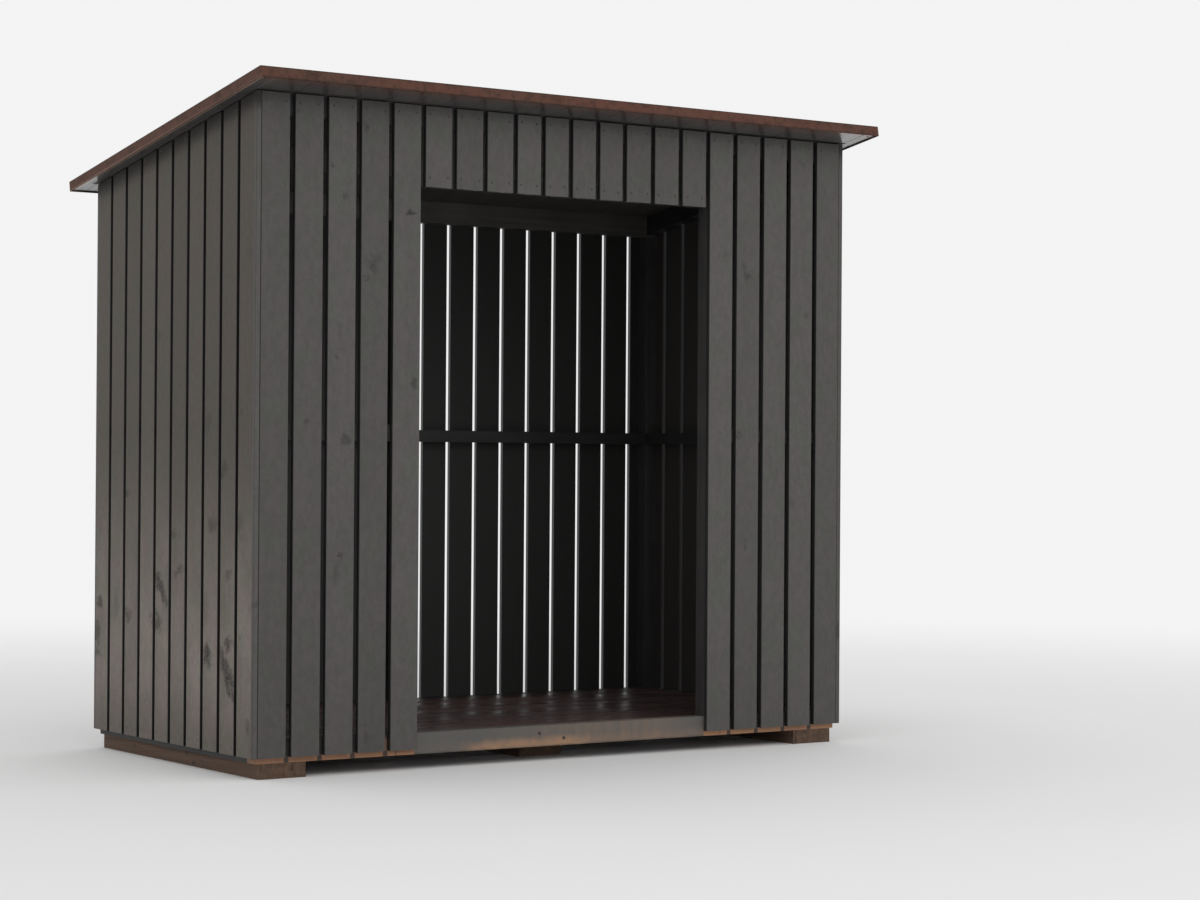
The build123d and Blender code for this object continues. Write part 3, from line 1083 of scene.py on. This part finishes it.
def stamped(places, way_out, across, spins, size=1.0):
    """The head surface at many places. The head is turned by a spin, and each vertex is a
    place plus its three parts along the wall's across, upward and outward directions."""
    head, faces = head_surface()
    head = head * size
    way_out = np.array(way_out, float)
    across = np.array(across, float)
    upward = np.cross(way_out, across)
    cos, sin = np.cos(spins)[:, None], np.sin(spins)[:, None]
    local_x = head[None, :, 0] * cos - head[None, :, 1] * sin
    local_y = head[None, :, 0] * sin + head[None, :, 1] * cos
    local_z = np.broadcast_to(head[None, :, 2], local_x.shape)
    points = places[:, None, :] + local_x[..., None] * across + local_y[..., None] * upward
    points = points + local_z[..., None] * way_out
    offsets = (np.arange(len(places)) * len(head))[:, None, None]
    return points.reshape(-1, 3), (faces[None] + offsets).reshape(-1, 4)


print("ready to stamp heads of radius", head_radius)

# %% [markdown]
# ## Finishes of the heads
#
# Most heads were painted over with the boards and hardly show. Those at the top went in
# after the paint and are small dark dots. The heads of one wall are one mesh, so rather than
# sort its faces, one finish changes with the height. The bare blackened heads under the
# verges and in the sill have a finish of their own, from the same function.

# %% Screw finishes
screw_painted, screw_dark = paint(74, 72, 70), paint(44, 42, 41)
screw_black, screw_worn = paint(18, 17, 17), paint(84, 80, 75)
bare_screws_from = 1.8
screw_relief = 0.0001


def head_finish(name, low_tone, high_tone, worn_from, worn_share, roughness):
    """One tone below a height and one above, both worn paler in specks."""
    finish = Finish(name)
    wear = finish.noise(finish.place, 700.0, 2.0)
    colour = finish.mix(finish.z.above(bare_screws_from), low_tone, high_tone)
    colour = finish.mix(wear.ramp(worn_from, 0.7) * worn_share, colour, screw_worn)
    return finish.close(colour, roughness + wear * 0.2, wear, screw_relief)


heads_paint = head_finish("screw_paint", screw_painted, screw_dark, 0.45, 0.3, 0.42)
dark_heads = head_finish("dark_screw", screw_black, screw_black, 0.5, 0.2, 0.4)
print("finishes:", heads_paint.name, "and", dark_heads.name)

# %% [markdown]
# ## Rows of screws
#
# Two screws hold each board to each rail, a little way in from its edges. Placed by hand
# they would be hundreds of numbers. Their places come from the boards' own edges and the
# rails' heights instead, so they stay right when a size changes. A small random shift keeps
# the rows from looking machine-made.

# %% Screws in the walls
screw_inset = 0.017
top_screw_drop = 0.0265
lintel_screw_rise = 0.028
screw_scatter = 0.0015
sill_middle = (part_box("front_sill")[1][2] + board_foot) / 2
mid_rail_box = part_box("left_mid_rail")
mid_height = (mid_rail_box[0][2] + mid_rail_box[1][2]) / 2
lintel_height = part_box("door_lintel")[0][2] + lintel_screw_rise


def screw_places(node, axis, face_axis, face, heights):
    """Two screws on each board near its top, and two more at each height."""
    edges = board_edges(node, axis)
    tops = board_tops(node, axis, edges)
    rows = [tops - top_screw_drop] + [np.full(len(edges), height) for height in heights]
    places = []
    for row in rows:
        for column in (edges[:, 0] + screw_inset, edges[:, 1] - screw_inset):
            place = np.empty((len(edges), 3))
            place[:, axis] = column
            place[:, face_axis] = face
            place[:, 2] = row
            places.append(place)
    return np.concatenate(places)


whole_heights = [mid_height, sill_middle]
dice = np.random.default_rng(7)
walls = {
    "front_wall_screws": (
        [("front_left_boards", whole_heights), ("front_right_boards", whole_heights),
         ("over_door_boards", [lintel_height])],
        0, 1, front_face, (0, -1, 0), (1, 0, 0),
    ),
    "back_wall_screws": (
        [("back_wall_boards", whole_heights)], 0, 1, back_face, (0, 1, 0), (-1, 0, 0),
    ),
    "left_wall_screws": (
        [("left_wall_boards", whole_heights)], 1, 0, -half_front, (-1, 0, 0), (0, -1, 0),
    ),
    "right_wall_screws": (
        [("right_wall_boards", whole_heights)], 1, 0, half_front, (1, 0, 0), (0, 1, 0),
    ),
}
for name, (groups, axis, face_axis, face, way_out, across) in walls.items():
    places = np.concatenate(
        [screw_places(node, axis, face_axis, face, heights) for node, heights in groups]
    )
    places += dice.normal(0.0, screw_scatter, places.shape) * (np.arange(3) != face_axis)
    spins = dice.uniform(0, np.pi, len(places))
    points, faces = stamped(places, way_out, across, spins)
    mesh_piece(name, points, faces, heads_paint)

# %% [markdown]
# ## Screws under the verges and in the sill
#
# The boards at both ends of the roof are screwed from below, square to the slope, about
# every 300 mm. Two more screws stand in the sill's face near the middle of the doorway.
# They could be left as dark dots in the paint, but real heads catch the light, so the same
# stamp serves. The sill's heads are a size larger.

# %% Verge and sill screws
verge_middle = 1.2277
verge_start = -0.6971
verge_screw_spacing = 0.3
verge_back_margin = 0.04
verge_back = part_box("right_verge_board")[1][1]
sill_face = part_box("front_sill")[0][1]
sill_screw_size = 1.35
sill_screw_spots = ((-0.1016, 0.0943), (-0.0024, 0.0741))


def verge_screws():
    """Places along both verges, under the deck: even steps down the slope from the front."""
    step = verge_screw_spacing * math.cos(roof_fall)
    along = np.arange(verge_start, verge_back - verge_back_margin, step)
    height = soffit_at_front - (along - front_face) * math.tan(roof_fall)
    right_row = np.stack([np.full(len(along), verge_middle), along, height], axis=1)
    return np.concatenate([right_row * (-1, 1, 1), right_row])


sill_screws = np.array([(along, sill_face, up) for along, up in sill_screw_spots])
down_square = (0, -math.sin(roof_fall), -math.cos(roof_fall))
for name, places, way_out, slot, size in (
    ("verge_screws", verge_screws(), down_square, "deck_timber", 1.0),
    ("sill_screws", sill_screws, (0, -1, 0), "painted_frame", sill_screw_size),
):
    spins = dice.uniform(0, np.pi, len(places))
    points, faces = stamped(places, way_out, (1, 0, 0), spins, size)
    mesh_piece(name, points, faces, dark_heads)

# %% [markdown]
# ## Ground
#
# The ground is plain and pale. Seen from the side, its far edge would cut the picture with a
# horizon. A curved backdrop would hide that from one side only, so the ground itself fades:
# far from the store it turns, for the camera and for mirrored rays alone, into the tone of
# the sky. The light that falls on the store doesn't change by it, and the shadow stays.

# %% Ground
ground_half = 60.0
ground_grey, ground_white, backdrop_white = plain(0.80), plain(0.83), plain(0.90)
fade_start, fade_end = 3.0, 9.0


def seen_rays(graph):
    """1 for rays from the camera, from a gloss or through glass."""
    path = graph.node("ShaderNodeLightPath", out="Is Camera Ray")
    outputs = path.socket.node.outputs
    glossy = Wire(graph, outputs["Is Glossy Ray"])
    through = Wire(graph, outputs["Is Transmission Ray"])
    return graph.most(path, glossy, through)


def ground_pale():
    """Pale matt ground, mixed with the backdrop's own tone by distance and kind of ray."""
    finish = Finish("ground_pale")
    clouds = finish.noise(finish.place, 0.6, 2.0)
    colour = finish.mix(clouds, ground_grey, ground_white)
    inputs = {"Base Color": colour, "Roughness": 0.95, "Specular IOR Level": 0.1}
    matt = finish.node("ShaderNodeBsdfPrincipled", inputs=inputs)
    glow = finish.node("ShaderNodeEmission", inputs={"Color": backdrop_white, "Strength": 1.0})
    away = finish.length(finish.join(finish.x, finish.y, 0.0))
    far = away.ramp(fade_start, fade_end) * seen_rays(finish)
    surface = finish.node("ShaderNodeMixShader", inputs={0: far, 1: matt, 2: glow})
    finish.node("ShaderNodeOutputMaterial", inputs={"Surface": surface})
    return finish.material


ground_mesh = bpy.data.meshes.new("ground")
corner_signs = np.array([(-1, -1, 0), (1, -1, 0), (1, 1, 0), (-1, 1, 0)])
ground_mesh.from_pydata((corner_signs * ground_half).tolist(), [], [(0, 1, 2, 3)])
ground_mesh.materials.append(ground_pale())
ground = bpy.data.objects.new("ground", ground_mesh)
bpy.context.scene.collection.objects.link(ground)
print("ground half width:", ground_half)

# %% [markdown]
# ## Sky and lamp
#
# A painted picture of a sky would colour the gloss. An even, slightly grey sky keeps every
# written colour as it is, and the same tone shows behind the store. One wide lamp in front
# and above gives the fronts a little more light than the sides.

# %% Sky and lamp
lamp_wide, lamp_high = 6.0, 4.0
lamp_power = 100.0
lamp_place = Vector((1.0, -8.0, 6.0))
lamp_aim = Vector((0, 0, 1.0))

sky = bpy.data.worlds.new("sky")
sky.use_nodes = True
sky_shader = sky.node_tree.nodes["Background"]
sky_shader.inputs["Color"].default_value = backdrop_white
sky_shader.inputs["Strength"].default_value = 1.0
bpy.context.scene.world = sky

lamp_data = bpy.data.lights.new("soft_lamp", "AREA")
lamp_data.shape = "RECTANGLE"
lamp_data.size, lamp_data.size_y = lamp_wide, lamp_high
lamp_data.energy = lamp_power
lamp = bpy.data.objects.new("soft_lamp", lamp_data)
lamp.location = lamp_place
lamp.rotation_euler = (lamp_aim - lamp_place).to_track_quat("-Z", "Y").to_euler()
bpy.context.scene.collection.objects.link(lamp)
bpy.context.scene.view_settings.view_transform = "Standard"
print("sky and lamp ready, lamp at", list(lamp_place))

# %% [markdown]
# ## Finish
#
